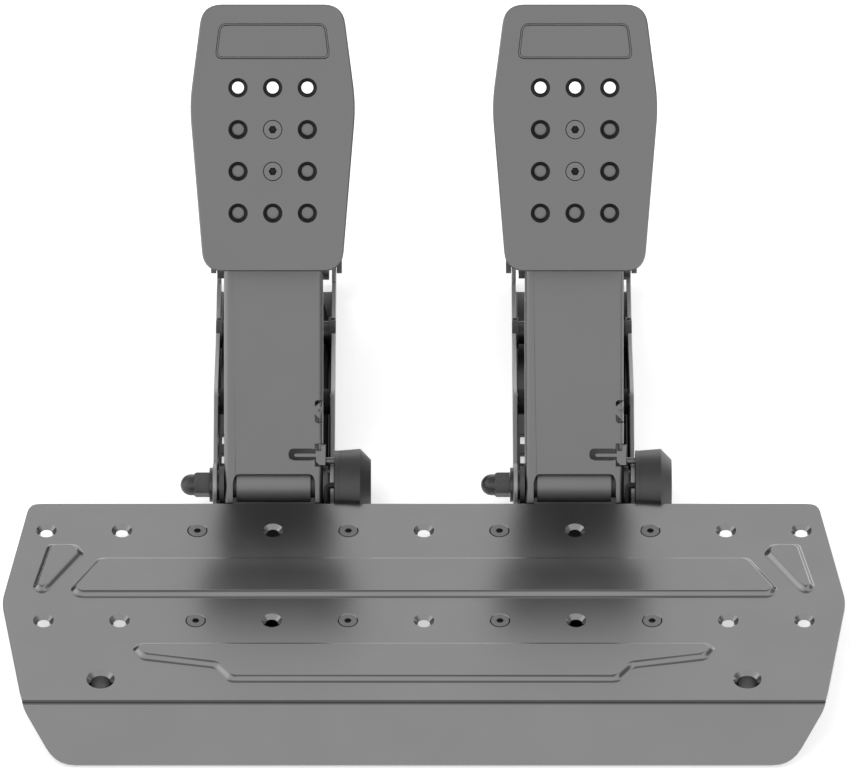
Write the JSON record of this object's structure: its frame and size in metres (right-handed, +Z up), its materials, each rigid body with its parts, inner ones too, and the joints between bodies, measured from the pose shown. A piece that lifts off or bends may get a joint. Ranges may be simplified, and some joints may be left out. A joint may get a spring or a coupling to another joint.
{
  "type": "sim racing pedal set",
  "caption": "Sim racing pedal set: sprung steel pedals with perforated face plates on channel frames, bolted to a bent, drilled base plate.",
  "frame": {"origin": "middle of the bounding box at floor level", "axes": "+X to the user's right along the plate, +Y away from the user towards the rear, +Z up"},
  "size_m": [0.388, 0.3446, 0.2152],
  "materials": {
    "plate_steel": "satin dark grey powder coat with a soft sheen",
    "arm_steel": "satin dark grey powder coat",
    "frame_steel": "satin dark grey powder coat",
    "coated_screws": "satin dark grey, like the plate",
    "lever_steel": "satin grey sheet steel",
    "dark_nuts": "dark satin plated steel",
    "black_steel": "black oxide, low sheen",
    "zinc_steel": "plain satin steel",
    "spring_steel": "black coated spring wire",
    "black_plastic": "moulded, faintly satin",
    "grey_nylon": "dark moulded nylon",
    "black_rubber": "matt rubber",
    "lead_sheath": "round sheathed lead, matt",
    "board_green": "green circuit board"
  },
  "bodies": {
    "base": {"base_plate": "plate_steel", "front_bushes": "zinc_steel", "mount_screws": "coated_screws", "mount_nuts": "zinc_steel", "axles": "zinc_steel", "cap_nuts": "dark_nuts", "axle_washers": "dark_nuts", "strut_shafts": "black_steel", "shaft_saddles": "grey_nylon", "shaft_spacers": "black_steel", "stop_bars": "zinc_steel", "stop_sleeves": "black_rubber", "rear_screws": "black_steel", "sensor_screws": "black_steel", "lead_ports": "black_plastic", "brake_frame": "frame_steel", "brake_rear_bracket": "frame_steel", "brake_sensor_base": "black_plastic", "brake_sensor_housing": "black_plastic", "brake_sensor_board": "board_green", "brake_sensor_lead": "lead_sheath", "throttle_frame": "frame_steel", "throttle_rear_bracket": "frame_steel", "throttle_sensor_base": "black_plastic", "throttle_sensor_housing": "black_plastic", "throttle_sensor_board": "board_green", "throttle_sensor_lead": "lead_sheath"},
    "brake_pedal": {"brake_arm": "arm_steel", "brake_pivot_sleeve": "arm_steel", "brake_pivot_bushes": "grey_nylon", "brake_face_bracket": "frame_steel", "brake_face_plate": "arm_steel", "brake_face_screws": "coated_screws", "brake_bracket_screws": "black_steel", "brake_sensor_lever": "lever_steel", "brake_magnet_ring": "zinc_steel", "brake_strut_bolt": "black_steel"},
    "brake_strut": {"brake_strut_tube": "black_steel", "brake_strut_gland": "zinc_steel", "brake_spring": "spring_steel"},
    "brake_rod": {"brake_strut_rod": "zinc_steel", "brake_spring_cap": "black_steel", "brake_bump_stop": "black_rubber"},
    "throttle_pedal": {"throttle_arm": "arm_steel", "throttle_pivot_sleeve": "arm_steel", "throttle_pivot_bushes": "grey_nylon", "throttle_face_bracket": "frame_steel", "throttle_face_plate": "arm_steel", "throttle_face_screws": "coated_screws", "throttle_bracket_screws": "black_steel", "throttle_sensor_lever": "lever_steel", "throttle_magnet_ring": "zinc_steel", "throttle_strut_bolt": "black_steel"},
    "throttle_strut": {"throttle_strut_tube": "black_steel", "throttle_strut_gland": "zinc_steel", "throttle_spring": "spring_steel"},
    "throttle_rod": {"throttle_strut_rod": "zinc_steel", "throttle_spring_cap": "black_steel", "throttle_bump_stop": "black_rubber"}
  },
  "joints": [
    {"name": "brake_pivot", "type": "hinge", "parent": "base", "child": "brake_pedal", "pos_m": [-0.07, 0.00349, 0.0182], "axis": [-1, 0, 0], "range_deg": [0, 12], "stiffness_Nm_per_rad": 30, "springref_deg": -5.73},
    {"name": "brake_strut_shaft", "type": "hinge", "parent": "base", "child": "brake_strut", "pos_m": [-0.07, 0.12149, 0.0105], "axis": [-1, 0, 0], "range_deg": [-0.2, 4.05], "deforming": ["brake_spring"]},
    {"name": "brake_rod_eye", "type": "hinge", "parent": "brake_pedal", "child": "brake_rod", "pos_m": [-0.07, 0.06757, 0.09825], "axis": [-1, 0, 0], "range_deg": [-8.75, 0.2]},
    {"name": "throttle_pivot", "type": "hinge", "parent": "base", "child": "throttle_pedal", "pos_m": [0.07, 0.00349, 0.0182], "axis": [-1, 0, 0], "range_deg": [0, 18], "stiffness_Nm_per_rad": 6, "springref_deg": -20.05},
    {"name": "throttle_strut_shaft", "type": "hinge", "parent": "base", "child": "throttle_strut", "pos_m": [0.07, 0.12149, 0.0105], "axis": [-1, 0, 0], "range_deg": [-0.2, 5.48], "deforming": ["throttle_spring"]},
    {"name": "throttle_rod_eye", "type": "hinge", "parent": "throttle_pedal", "child": "throttle_rod", "pos_m": [0.07, 0.06757, 0.09825], "axis": [-1, 0, 0], "range_deg": [-13.32, 0.2]}
  ],
  "couplings": [
    {"joint": "brake_strut_shaft", "follows": "brake_pivot", "ratio": 0.3042},
    {"joint": "brake_rod_eye", "follows": "brake_pivot", "ratio": -0.6958},
    {"joint": "throttle_strut_shaft", "follows": "throttle_pivot", "ratio": 0.28225},
    {"joint": "throttle_rod_eye", "follows": "throttle_pivot", "ratio": -0.71775}
  ]
}
